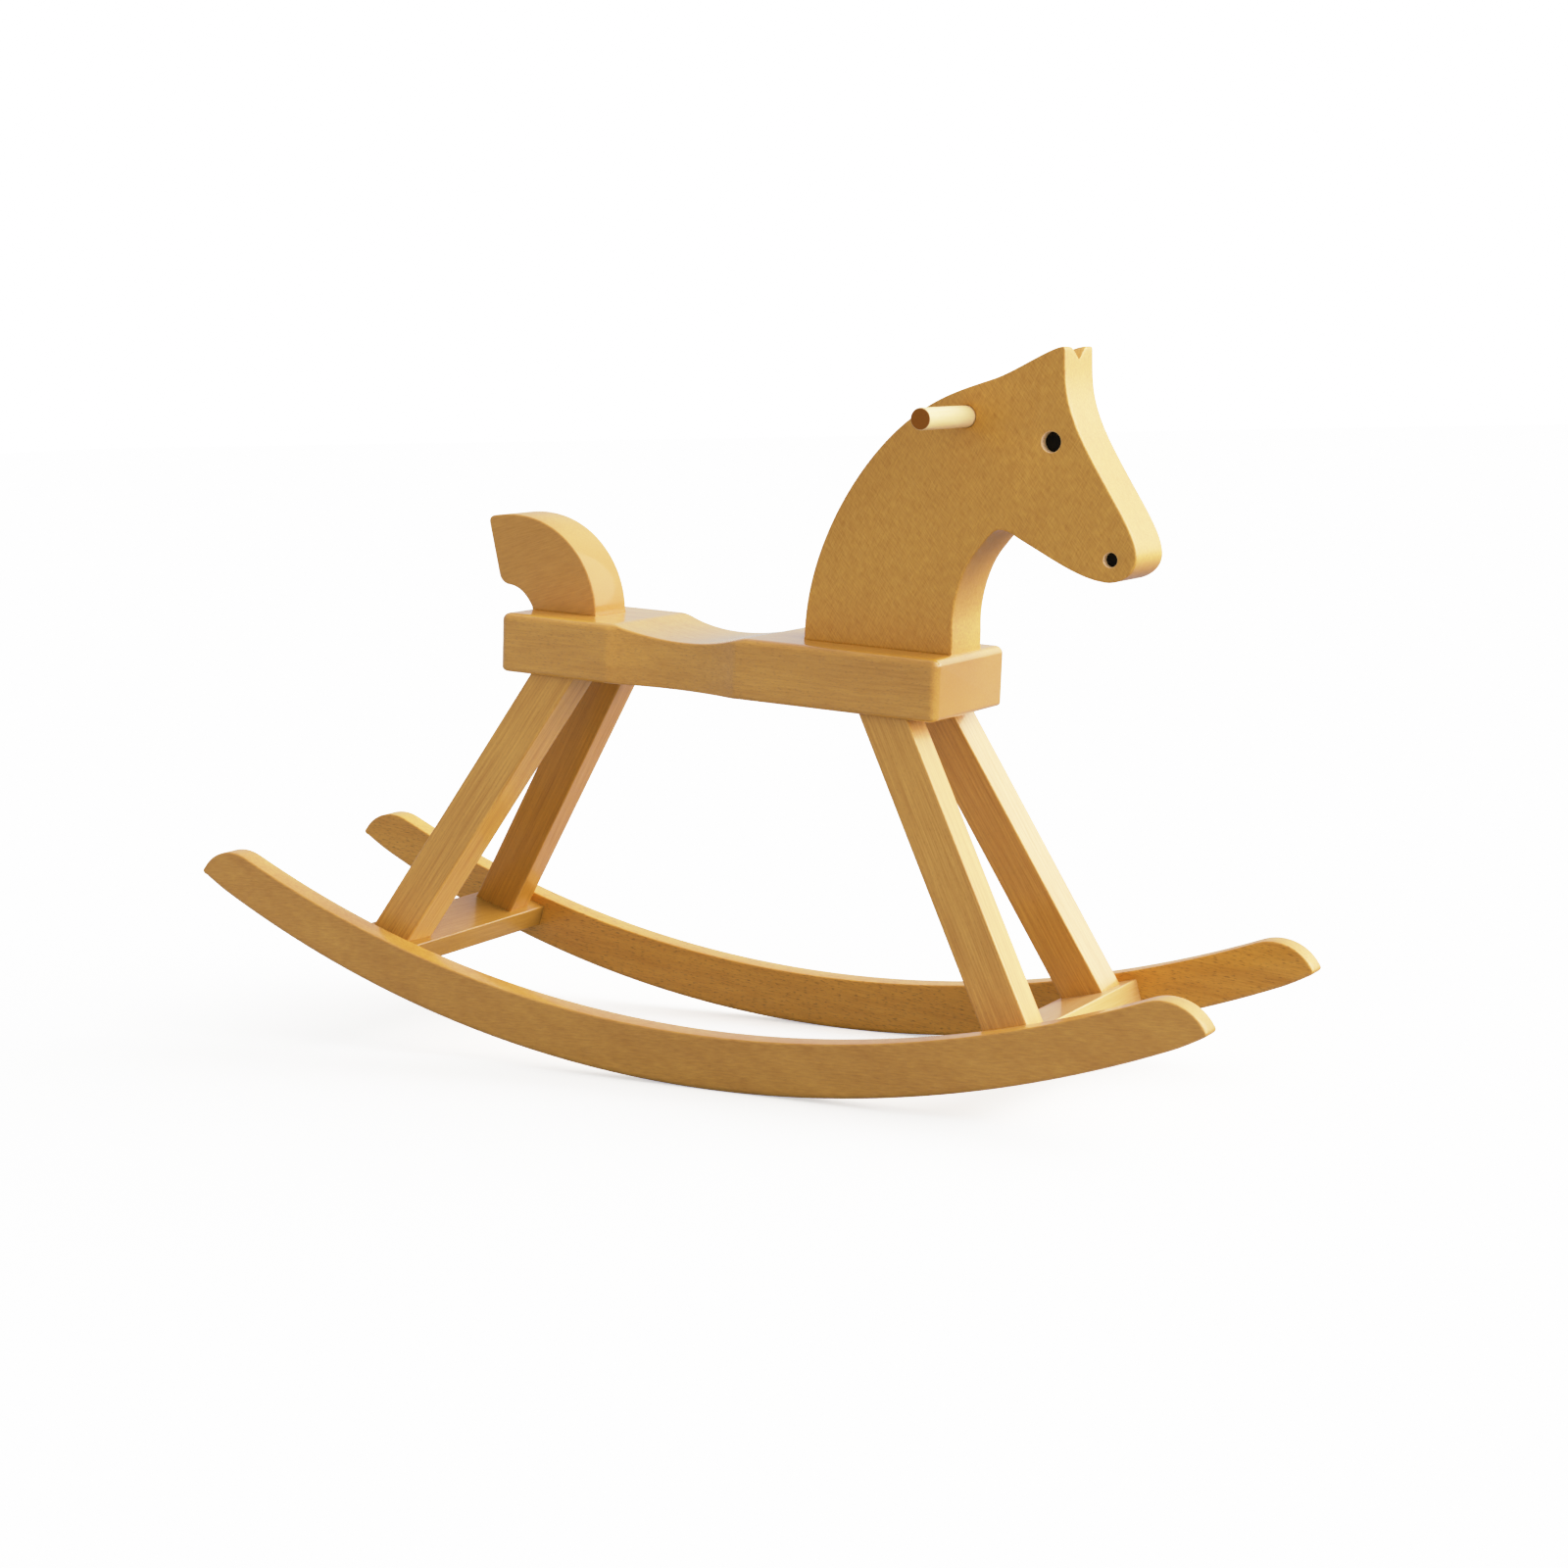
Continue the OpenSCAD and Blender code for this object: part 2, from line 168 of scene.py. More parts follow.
def boardMesh(loop, thickness, edge, holes=(), stations=(), shape=None):
    # a flat board cut to the loop (x, z), its arrises rounded to the radius edge, one value or one a point:
    # inset = edge (1 - cos a), y = thickness / 2 - edge (1 - sin a), then a band that keeps the faces flat
    normal, bend = inwards(loop)
    edge = np.broadcast_to(np.asarray(edge, float), (len(loop),))
    band, safe = 0.8, 0.8                      # mm, and the share of a tight bend that an inset may use
    room = np.minimum(1, safe / np.maximum(bend, 1e-6) / (edge + band))
    room = np.minimum.reduce([np.roll(room, k) for k in range(-3, 4)])
    a = np.radians([0, 18, 36, 54, 72, 90, 90])
    extra = np.array([0, 0, 0, 0, 0, 0, band])  # the last ring is the inner side of the band
    inset = (1 - np.cos(a))[:, None] * edge + extra[:, None]
    depth = thickness / 2 - (1 - np.sin(a))[:, None] * edge
    between = [np.full(len(loop), y) for y in stations]
    insets = np.vstack([inset[::-1], np.zeros((len(between), len(loop))), inset]) * room
    depths = np.vstack([-depth[::-1], *between, depth])
    x = loop[:, 0] + insets * normal[:, 0]
    z = loop[:, 1] + insets * normal[:, 1]
    grid = np.stack([x, depths, z], -1)
    if shape:
        grid = shape(grid)
    rows, columns = grid.shape[:2]
    points, faces = [grid.reshape(-1, 3)], gridFaces(rows, columns)
    total = rows * columns
    ends = {-1: np.arange(columns), 1: np.arange((rows - 1) * columns, rows * columns)}
    loops = {s: [grid[0 if s < 0 else -1][:, [0, 2]]] for s in ends}
    indexes = {s: [ends[s]] for s in ends}
    for hole in holes:
        wall = holeWall(hole, thickness)
        count, n = wall.shape[:2]
        for s in hole["sides"]:
            loops[s].append(wall[0][:, [0, 2]])
            indexes[s].append(np.arange(total, total + n))
            if hole["through"]:
                last = total + (count - 1) * n
                loops[-s].append(wall[-1][:, [0, 2]])
                indexes[-s].append(np.arange(last, last + n))
            points.append((wall * [1, s, 1]).reshape(-1, 3))
            faces += gridFaces(count, n, total)
            total += count * n
            if not hole["through"]:
                faces.append(tuple(range(total - n, total)))
    for s in ends:
        faces += flatCap(loops[s], indexes[s], holes)
    return np.vstack(points), faces


def holeWall(hole, thickness):
    # rings down a drilled hole on the +y side: a small rounded rim, then a straight wall
    a = np.radians(np.linspace(0, 90, 4))
    soft = hole["rim"] - hole["radius"]
    rimR = hole["rim"] - soft * np.sin(a)
    rimY = thickness / 2 - soft * (1 - np.cos(a))
    if hole["through"]:
        radius, y = np.concatenate([rimR, rimR[::-1]]), np.concatenate([rimY, -rimY[::-1]])
    else:
        radius, y = np.append(rimR, hole["radius"]), np.append(rimY, thickness / 2 - hole["depth"])
    turn = np.linspace(0, 2 * np.pi, 64, endpoint=False)
    x = hole["at"][0] + radius[:, None] * np.cos(turn)
    z = hole["at"][1] + radius[:, None] * np.sin(turn)
    return np.stack([x, np.broadcast_to(y[:, None], x.shape), z], -1)


def roundedSection(width, height, topR, lowR, steps=5):
    # rounded rectangle about (0, 0): four quarter circles, with a point a little way along each flat
    band = 0.9
    corners = [(1, 1, topR, 0), (-1, 1, topR, 90), (-1, -1, lowR, 180), (1, -1, lowR, 270)]
    parts = []
    for sx, sy, r, a in corners:
        centre = (sx * (width / 2 - r), sy * (height / 2 - r))
        arc = arcPoints(centre, r, a, a + 90, steps + 1)
        sine, cosine = math.sin(math.radians(a)), math.cos(math.radians(a))
        parts += [arc[:1] - [[-band * sine, band * cosine]], arc, arc[-1:] + [[-band * cosine, -band * sine]]]
    return np.vstack(parts)


def makePiece(name, mesh, grain, material, slotName, *nodes, sharp=40, bareLitWall=None):
    # puts the mesh in the frame, and gives each point its place in the plank it was cut from:
    # the attribute grain is millimetres along, across and through the plank, endGrain is how squarely
    # the surface cuts the fibres, and bare is 1 where a hole was drilled and never lacquered, where the
    # colour is a pale painted highlight on the hole walls
    points, faces = mesh
    data = bpy.data.meshes.new(name)
    data.from_pydata(toRest(points).tolist(), [], faces)
    work = bmesh.new()
    work.from_mesh(data)
    bmesh.ops.recalc_face_normals(work, faces=work.faces)
    work.to_mesh(data)
    work.free()
    data.update()
    data.shade_smooth()
    data.set_sharp_from_angle(angle=math.radians(sharp))
    axes = plankAxes(grain["along"], grain["face"])
    place = points @ axes.T + np.array(grain["cutFrom"])
    attribute = data.attributes.new("grain", "FLOAT_VECTOR", "POINT")
    attribute.data.foreach_set("vector", place.astype(np.float32).ravel())
    normals = np.zeros(len(points) * 3, np.float32)
    data.vertices.foreach_get("normal", normals)
    fibre = toRest(axes[:1])[0] - toRest(np.zeros((1, 3)))[0]
    square = np.abs(normals.reshape(-1, 3) @ (fibre / np.linalg.norm(fibre)))
    attribute = data.attributes.new("endGrain", "FLOAT", "POINT")
    attribute.data.foreach_set("value", square.astype(np.float32))
    if bareLitWall is not None:
        attribute = data.attributes.new("bareLitWall", "FLOAT", "POINT")
        attribute.data.foreach_set("value", bareLitWall.astype(np.float32))
    piece = bpy.data.objects.new(name, data)
    bpy.context.scene.collection.objects.link(piece)
    data.materials.append(material)
    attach(piece, "root")
    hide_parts(*nodes)
    return piece


def plankAxes(along, face):
    # right-handed axes: along the fibres, across the plank's face, and through its thickness
    along = np.array(along, float) / np.linalg.norm(along)
    through = np.array(face, float) - along * np.dot(face, along)
    through /= np.linalg.norm(through)
    return np.array([along, np.cross(through, along), through])


def hexColour(text):
    # sRGB hex to linear: c / 12.92 below 0.04045, else ((c + 0.055) / 1.055) ^ 2.4
    c = np.array([int(text[i:i + 2], 16) for i in (1, 3, 5)]) / 255
    linear = np.where(c <= 0.04045, c / 12.92, ((c + 0.055) / 1.055) ** 2.4)
    return (*linear.tolist(), 1.0)


def addNode(tree, kind, inputs=None, **settings):
    node = tree.nodes.new(kind)
    for key, value in settings.items():
        setattr(node, key, value)
    for key, value in (inputs or {}).items():
        if isinstance(value, bpy.types.NodeSocket):
            tree.links.new(value, node.inputs[key])
        else:
            node.inputs[key].default_value = value
    return node


def newMaterial(name):
    material = bpy.data.materials.new(name)
    material.use_nodes = True
    tree = material.node_tree
    tree.nodes.clear()
    return material, tree


# Lacquered beech: a close-grained hardwood under clear satin lacquer (IOR 1.5) that has yellowed to honey.
# It reads as warm wood with faint streaks along each plank and soft highlights on the arrises.
# figure lists its tone noises as (length, width in mm, turn in degrees, detail, share of the tone): broad
# bands, slow clouding, and fibre bundles that are drawn coarser than the real 0.3 mm.
beechLook = {
    "pale": "#DDA950", "deep": "#B67C31",
    "figure": [(170, 16, 0, 2, 0.35), (90, 45, 28, 1, 0.3), (26, 1.2, 0, 3, 0.45)],
    "middle": 0.45,                             # the tone where every noise is at its mean
    "ragged": 0.55,                             # how strongly the finer octaves of a noise count
    "fleck": "#80531C",
    "fleckSize": (3.2, 0.7),                    # rays in mm, drawn coarser than the real 0.4 mm
    "fleckFrom": (0.57, 0.72), "fleckShare": 0.3,
    "endGrain": "#B0803C", "endShare": 0.75,
    "endFrom": (0.65, 0.98),                    # how squarely a surface has to cut the fibres
    "bareLitWall": "#FFDCA4",                          # fresh wood inside the drilled holes, made paler than it is as a painted highlight on their lit walls
    "roughness": 0.36, "ior": 1.5,
    "roughSpread": 0.05, "roughFrom": (0.3, 0.7),
    "shine": (0.5, 0.08),                       # end grain soaks the lacquer up, so it shines less
    "coat": 0.3, "coatRoughness": 0.08,
    "bump": 0.05, "bumpShare": 0.5,             # height in mm, and how much of it is used
}


def lacqueredBeech(name, **changes):
    look = {**beechLook, **changes}
    material, tree = newMaterial(name)
    place = addNode(tree, "ShaderNodeAttribute", attribute_name="grain").outputs["Vector"]
    square = addNode(tree, "ShaderNodeAttribute", attribute_name="endGrain").outputs["Fac"]
    drilled = addNode(tree, "ShaderNodeAttribute", attribute_name="bareLitWall").outputs["Fac"]
    # every noise has cells of length by width along the fibres, turned in the plank's face
    noises = []
    for length, width, turn, detail, _ in look["figure"] + [(*look["fleckSize"], 0, 1, 0)]:
        mapped = addNode(tree, "ShaderNodeMapping", {"Vector": place, "Rotation": (0, 0, math.radians(turn)),
                                                     "Scale": (length, width, width)}, vector_type="TEXTURE")
        noise = addNode(tree, "ShaderNodeTexNoise", {"Vector": mapped.outputs["Vector"], "Scale": 1.0,
                                                     "Detail": detail, "Roughness": look["ragged"]})
        noises.append(noise.outputs["Fac"])
    *figure, rays = noises
    fibres = figure[-1]
    # tone = middle + sum of share * 2 * (noise - 0.5)
    tone = look["middle"] - sum(layer[4] for layer in look["figure"])
    for noise, layer in zip(figure, look["figure"]):
        tone = addNode(tree, "ShaderNodeMath", {0: noise, 1: 2 * layer[4], 2: tone},
                       operation="MULTIPLY_ADD").outputs["Value"]
    limited = addNode(tree, "ShaderNodeClamp", {"Value": tone}).outputs["Result"]
    fleckLow, fleckHigh = look["fleckFrom"]
    endLow, endHigh = look["endFrom"]
    roughLow, roughHigh = look["roughFrom"]
    faceShine, endShine = look["shine"]
    dash = addNode(tree, "ShaderNodeMapRange", {
        "Value": rays, "From Min": fleckLow, "From Max": fleckHigh, "To Max": look["fleckShare"]})
    cut = addNode(tree, "ShaderNodeMapRange", {
        "Value": square, "From Min": endLow, "From Max": endHigh, "To Max": look["endShare"]})
    # the colours are laid over each other: wood, ray flecks, end grain, then unlacquered wood in the holes,
    # made paler than it is as a painted highlight on the lit hole walls
    colour = hexColour(look["pale"])
    for share, over in ((limited, "deep"), (dash.outputs["Result"], "fleck"),
                        (cut.outputs["Result"], "endGrain"), (drilled, "bareLitWall")):
        colour = addNode(tree, "ShaderNodeMix", {0: share, 6: colour, 7: hexColour(look[over])},
                         data_type="RGBA").outputs[2]
    bump = addNode(tree, "ShaderNodeBump",
                   {"Height": fibres, "Distance": look["bump"] / 1000, "Strength": look["bumpShare"]})
    rough = addNode(tree, "ShaderNodeMapRange", {
        "Value": fibres, "From Min": roughLow, "From Max": roughHigh,
        "To Min": look["roughness"] - look["roughSpread"], "To Max": look["roughness"] + look["roughSpread"]})
    shine = addNode(tree, "ShaderNodeMapRange", {
        "Value": square, "From Min": endLow, "From Max": endHigh, "To Min": faceShine, "To Max": endShine})
    shader = addNode(tree, "ShaderNodeBsdfPrincipled", {
        "Base Color": colour, "Roughness": rough.outputs["Result"], "IOR": look["ior"],
        "Specular IOR Level": shine.outputs["Result"], "Coat Weight": look["coat"],
        "Coat Roughness": look["coatRoughness"], "Coat IOR": look["ior"], "Normal": bump.outputs["Normal"]})
    addNode(tree, "ShaderNodeOutputMaterial", {"Surface": shader.outputs["BSDF"]})
    return material


# Bare beech: planed smooth and never lacquered, so it stays pale and dull.
dowelLook = {
    "pale": "#E4C491", "deep": "#C79F66",
    "streakLength": 14.0, "streakWidth": 0.9,   # mm, drawn coarser than the real 0.3 mm
    "bump": 0.1, "bumpShare": 0.5, "roughness": 0.62, "ior": 1.5,
}


def bareBeech():
    material, tree = newMaterial("BareBeech")
    place = addNode(tree, "ShaderNodeTexCoord").outputs["Object"]
    scale = (1000 / dowelLook["streakWidth"],) * 2 + (1000 / dowelLook["streakLength"],)
    mapped = addNode(tree, "ShaderNodeMapping", {"Vector": place, "Scale": scale}).outputs["Vector"]
    noise = addNode(tree, "ShaderNodeTexNoise",
                    {"Vector": mapped, "Scale": 1.0, "Detail": 3.0}).outputs["Fac"]
    wood = addNode(tree, "ShaderNodeMix", {0: noise, 6: hexColour(dowelLook["deep"]),
                                           7: hexColour(dowelLook["pale"])}, data_type="RGBA").outputs[2]
    bump = addNode(tree, "ShaderNodeBump", {
        "Height": noise, "Distance": dowelLook["bump"] / 1000, "Strength": dowelLook["bumpShare"]})
    shader = addNode(tree, "ShaderNodeBsdfPrincipled", {
        "Base Color": wood, "Roughness": dowelLook["roughness"], "IOR": dowelLook["ior"],
        "Normal": bump.outputs["Normal"]})
    addNode(tree, "ShaderNodeOutputMaterial", {"Surface": shader.outputs["BSDF"]})
    return material


# Flat black paint on the plugs at the bottom of the eye and nostril holes, brushed a little unevenly.
plugLook = {
    "black": "#070505", "worn": "#110D0B",
    "brush": (2.7, 0.9), "turn": 20,            # brush marks in mm, and their turn in degrees
    "ragged": 0.55, "bump": 0.05, "bumpShare": 0.4,
    "roughness": 0.7, "specular": 0.15, "ior": 1.5,
}


def blackPaint():
    material, tree = newMaterial("FlatBlackPaint")
    place = addNode(tree, "ShaderNodeAttribute", attribute_name="grain").outputs["Vector"]
    length, width = plugLook["brush"]
    mapped = addNode(tree, "ShaderNodeMapping", {
        "Vector": place, "Rotation": (0, 0, math.radians(plugLook["turn"])),
        "Scale": (length, width, width)}, vector_type="TEXTURE").outputs["Vector"]
    noise = addNode(tree, "ShaderNodeTexNoise", {
        "Vector": mapped, "Scale": 1.0, "Detail": 2, "Roughness": plugLook["ragged"]}).outputs["Fac"]
    paint = addNode(tree, "ShaderNodeMix", {0: noise, 6: hexColour(plugLook["black"]),
                                            7: hexColour(plugLook["worn"])}, data_type="RGBA").outputs[2]
    bump = addNode(tree, "ShaderNodeBump", {
        "Height": noise, "Distance": plugLook["bump"] / 1000, "Strength": plugLook["bumpShare"]})
    shader = addNode(tree, "ShaderNodeBsdfPrincipled", {
        "Base Color": paint, "Roughness": plugLook["roughness"], "IOR": plugLook["ior"],
        "Specular IOR Level": plugLook["specular"], "Normal": bump.outputs["Normal"]})
    addNode(tree, "ShaderNodeOutputMaterial", {"Surface": shader.outputs["BSDF"]})
    return material


# each plank's own tone and figure; the rear left leg's plank is darker than the other legs' as painted shade,
# for where it stands behind the near legs
planks = {
    "rocker": {
        "figure": [(120, 22, 32, 2, 0.35), (160, 12, 0, 2, 0.2), (9, 1.2, 0, 3, 0.6)],
        "pale": "#DCA84E", "deep": "#B67D34", "fleckShare": 0.12},
    # far rocker: its own figure and coarser flecks, and a paler tone that is painted light on its inner face
    "farRocker": {
        "figure": [(150, 12, 0, 2, 0.35), (24, 1.2, 0, 3, 0.5)],
        "pale": "#E6B04C", "deep": "#BC802A", "fleckSize": (5.0, 0.9), "fleckShare": 0.6},
    "seat": {
        "figure": [(170, 16, 0, 2, 0.3), (90, 45, 28, 1, 0.25), (22, 1.2, 0, 3, 0.5)],
        "pale": "#DFAA48", "deep": "#B67D28", "fleckShare": 0.32, "coat": 0.9, "coatRoughness": 0.03},
    "head": {
        "figure": [(150, 40, 70, 2, 0.25), (9, 1.0, 0, 2, 0.65), (8, 1.0, 66, 2, 0.5)],
        "pale": "#E0AD4E", "deep": "#B98030", "fleckShare": 0.0, "coat": 0.12},
    "tail": {
        "figure": [(120, 18, 0, 2, 0.25), (14, 1.2, 0, 3, 0.45)],
        "pale": "#DAA650", "deep": "#B27B30", "fleckShare": 0.12},
    "leg": {
        "figure": [(200, 10, 0, 2, 0.2), (50, 1.2, 0, 3, 0.8)],
        "pale": "#E2B056", "deep": "#B88034", "fleckShare": 0.2},
    "deepLeg": {
        "figure": [(200, 10, 0, 2, 0.2), (50, 1.2, 0, 3, 0.7)],
        "pale": "#CA943A", "deep": "#A46C20", "fleckShare": 0.2, "coat": 0.12},
    # front board paler as painted light on its top, rear board deeper as painted shade under the seat
    "frontBoard": {"pale": "#E2BB7C", "deep": "#CC9A50", "fleckShare": 0.1},
    "rearBoard": {"pale": "#B28638", "deep": "#906420", "fleckShare": 0.2},
    "grip": {
        "pale": "#F6DCA4", "deep": "#E8C47E", "endGrain": "#9A5D23", "endShare": 1.0, "fleckShare": 0.1,
        "coat": 0.0, "roughness": 0.5},
}
beech = {name: lacqueredBeech("LacqueredBeech" + name[0].upper() + name[1:], **changes)
         for name, changes in planks.items()}
dowelBeech = bareBeech()
black = blackPaint()
print("materials made")

rocker = {
    "runRadius": stance["runRadius"], "crownRadius": 965.0,
    "depth": 39.5, "thickness": 18.0, "track": 219.0,   # track is over the outer faces
    "reachFront": 431.5, "reachRear": 412.5,
    "endRadius": 35.0, "tip": 2.0,                      # tip is the rounding of the corner under each end
    "toeRadius": 220.0, "toeStart": 8.0,                # the easing of the running edge near its ends
    "runEdge": 3.4, "crownEdge": 1.3,                   # arris radii below and above
}


def crossing(p, pR, q, qR, side):
    # where two circles cross, on the side of the line from p to q that the sign gives
    gap = np.linalg.norm(q - p)
    along = (q - p) / gap
    h = (pR ** 2 - qR ** 2 + gap ** 2) / (2 * gap)
    return p + h * along + side * math.sqrt(pR ** 2 - h ** 2) * np.array([-along[1], along[0]])


def arcBetween(centre, radius, a, b, count):
    # the shorter way round a circle from the direction of point a to that of point b
    start, stop = (math.degrees(math.atan2(*(p - centre)[::-1])) for p in (a, b))
    turn = (stop - start + 180) % 360 - 180
    return arcPoints(centre, radius, start, start + turn, count)


def rockerLoop():
    # running edge, its eased toe, front end round, hollow top edge, rear end round and toe, in that order
    run, crown, end, toe = (rocker[k + "Radius"] for k in ("run", "crown", "end", "toe"))
    runC, crownC = np.array([0, run]), np.array([0, rocker["depth"] + crown])
    made = {}
    for fore, reach in ((1, rocker["reachFront"]), (-1, rocker["reachRear"])):
        tip = np.array([fore * reach, run - math.sqrt(run ** 2 - reach ** 2)])
        c = crossing(tip, end, crownC, crown + end, fore)
        outward = (c - runC) / np.linalg.norm(c - runC)
        toeC = runC + (run - toe + rocker["toeStart"] ** 2 * (1 / toe - 1 / run) / 2) * outward
        point = crossing(c, end, toeC, toe, -fore)
        made[fore] = {"c": c, "toeC": toeC, "start": crossing(runC, run, toeC, toe, fore), "tip": point,
                      "touch": crownC + (c - crownC) * crown / (crown + end)}
    f, r = made[1], made[-1]
    return np.vstack([arcBetween(*arc) for arc in (
        (runC, run, r["start"], f["start"], 400),
        (f["toeC"], toe, f["start"], f["tip"], 40),
        (f["c"], end, f["tip"], f["touch"], 60),
        (crownC, crown, f["touch"], r["touch"], 400),
        (r["c"], end, r["touch"], r["tip"], 60),
        (r["toeC"], toe, r["tip"], r["start"], 40))])


def rockerMesh(side):
    # the outline cut from a board; its arris goes from crownEdge to runEdge between 7 and 3 mm above the
    # running circle, and a Gaussian of 8 mm along the outline takes the step out of that
    step = 1.0
    loop = evenLoop(rockerLoop(), step, rocker["tip"])
    away = np.hypot(loop[:, 0], loop[:, 1] - rocker["runRadius"])
    low = np.clip((away - rocker["runRadius"] + 7) / 4, 0, 1)
    edge = softened(rocker["crownEdge"] + (rocker["runEdge"] - rocker["crownEdge"]) * low, 8, step)
    points, faces = boardMesh(loop, rocker["thickness"], edge)
    return points + [0, side * (rocker["track"] - rocker["thickness"]) / 2, 0], faces


rockerGrain = {
    "right": {"along": (1, 0, 0.1), "face": (0, 1, 0), "cutFrom": (40, 13, 5)},
    "left": {"along": (1, 0, -0.04), "face": (0, 1, 0), "cutFrom": (900, 210, 30)},
}
for sideName, side in (("right", -1), ("left", 1)):
    # the far rocker's plank is the paler one, which is painted light
    plank = beech["rocker" if side < 0 else "farRocker"]
    makePiece("rocker_" + sideName + "_wood", rockerMesh(side), rockerGrain[sideName], plank, "beech",
              "rocker_" + sideName)
print("rockers made")


seat = {
    "length": 366.5, "width": 106.5, "thick": 44.0,
    "under": 273.5, "middle": 15.5,                     # height of the underside, and x of the middle
    "topEdge": 5.5, "lowEdge": 3.5, "endEdge": 6.0,     # arris radii
    "wornEdge": 1.8,                                    # the crisper arris beside the dip and the waist
    "dipLength": 111.0, "dipDepth": 9.0, "dipAt": -13.5,
    "waistLength": 110.0, "waistDepth": 10.0, "waistAt": -17.5,
    "crease": 0.5,                                      # rounding where a scoop meets the flat
}


def hollow(x, length, depth, at):
    # a circular scoop: the chord length and the depth give the radius; softplus eases the two creases
    radius = (length ** 2 / 4 + depth ** 2) / (2 * depth)
    raw = depth - (radius - np.sqrt(np.maximum(radius ** 2 - np.minimum(np.abs(x - at), radius) ** 2, 0)))
    return np.logaddexp(0, raw / seat["crease"] * 2) * seat["crease"] / 2


def seatMesh():
    # rounded sections along x; at the ends they shrink by endEdge (1 - cos a) while x runs as endEdge sin a,
    # and the arris radius goes from worn to full as exp(-((dip + waist) / 3)^2)
    half = seat["length"] / 2 - seat["endEdge"]
    a = np.radians(np.linspace(90, 0, 8))
    inside = np.linspace(-half, half, 181)[1:-1]
    beyond = half + seat["endEdge"] * np.sin(a)
    x = np.concatenate([-beyond, inside, beyond[::-1]])
    shrink = np.concatenate([1 - np.cos(a), np.zeros(len(inside)), 1 - np.cos(a[::-1])])
    rings = []
    for place, s in zip(x + seat["middle"], shrink):
        dip = hollow(place, seat["dipLength"], seat["dipDepth"], seat["dipAt"])
        waist = hollow(place, seat["waistLength"], seat["waistDepth"], seat["waistAt"])
        keep = math.exp(-((dip + waist) / 3) ** 2)
        topR = seat["wornEdge"] + (seat["topEdge"] - seat["wornEdge"]) * keep
        lowR = seat["wornEdge"] + (seat["lowEdge"] - seat["wornEdge"]) * keep
        top = seat["thick"] - dip - seat["topEdge"] * s
        low = seat["lowEdge"] * s
        width = seat["width"] - 2 * waist - 2 * seat["endEdge"] * s
        flat = roundedSection(width, top - low, max(topR * (1 - s), 0.3), max(lowR * (1 - s), 0.3))
        rings.append(np.column_stack([np.full(len(flat), place), flat[:, 0],
                                      flat[:, 1] + (top + low) / 2 + seat["under"]]))
    return cappedTube(np.array(rings))


seatGrain = {"along": (1, 0, 0.01), "face": (0, 0, 1), "cutFrom": (-300, 150, 60)}
makePiece("seat_wood", seatMesh(), seatGrain, beech["seat"], "beech", "seat")
print("seat made")


seatTop = seat["under"] + seat["thick"]
letIn = 0.6                                # how far a board's foot sits below the seat's top, in mm

head = {
    "thick": 46.0, "at": 76.3,                 # at is x of the neck's rear corner on the seat
    "edge": 1.4, "corner": 1.6,                # arris radius, and rounding of the outline's corners
    # strokes as (x, z, heading in degrees, pull in, pull out), in mm from that corner
    "mane": [(0, 0, 92, 0, 62), (72.5, 156.5, 40, 49, 30), (138.5, 190, 19, 26, 19),
             (191, 214.3, 4, 11, 0)],
    "face": [(191, 214.3, -85, 0, 22), (210.5, 147, -58, 38, 38), (250.5, 79, -83, 16, 13),
             (231, 59.5, 180, 7, 19), (167, 82.5, 155, 27, 10), (148.5, 89, 185, 7, 5),
             (132.5, 73, -129, 11, 18), (117, 20, -87, 15, 11), (117.5, 0, -90, 10, 0)],
    "eyeAt": (184.5, 150.5), "eyeRadius": 7.0, "eyeDepth": 6.0,
    "nostrilAt": (232, 75), "nostrilRadius": 4.9, "nostrilDepth": 4.5,
    "gripAt": (120, 164),
    "plug": 3.0, "rim": 0.8,                   # thickness of the plugs, and rounding of a hole's rim
    "notchWidth": 22.0, "notchDepth": 9.0,
    "notchSoft": 0.7, "notchRound": 0.6,       # easing of the V's brinks, and of its bottom
    "notchFrom": 150.0, "notchBlend": 30.0,    # the V comes in from here up, over this height
}
tail = {
    "thick": 41.0, "at": -164.2, "edge": 1.4, "corner": 1.4,
    "outline": [(3, 0, 118, 0, 9), (-19.5, 17, 178, 11, 4), (-28.5, 23.5, 106, 4, 0),
                (-38.7, 63.2, 104, 0, 4), (-33.2, 68.8, 8, 4, 8), (-1.8, 69.6, -9, 14, 37),
                (60, 0, -89, 33, 0)],
}
grip = {
    "radius": 7.5, "length": 180.0, "edge": 1.0,
    "clear": 0.5, "thinner": 0.2, "gap": 0.1,  # it is thinner inside the head and this far past it
}


def standing(strokes):
    # closes a board's outline with a foot that reaches a little into the seat
    first, last = strokes[0], strokes[-1]
    return np.vstack([strokes, [[last[0], -letIn], [first[0], -letIn]]])


def notchedEars(grid):
    # a V along x between the ears: z is held under top + slope |y| by a smooth minimum, |y| eased at 0
    v, soft = head["notchDepth"] / (head["notchWidth"] / 2), head["notchRound"]
    y = np.sqrt(grid[..., 1] ** 2 + soft ** 2) - soft
    top = head["mane"][-1][1] - head["notchDepth"] + v * y
    z = grid[..., 2]
    under = (z + top - np.sqrt((z - top) ** 2 + head["notchSoft"] ** 2)) / 2
    share = np.clip((z - head["notchFrom"]) / head["notchBlend"], 0, 1)
    grid[..., 2] = z + (under - z) * share
    return grid


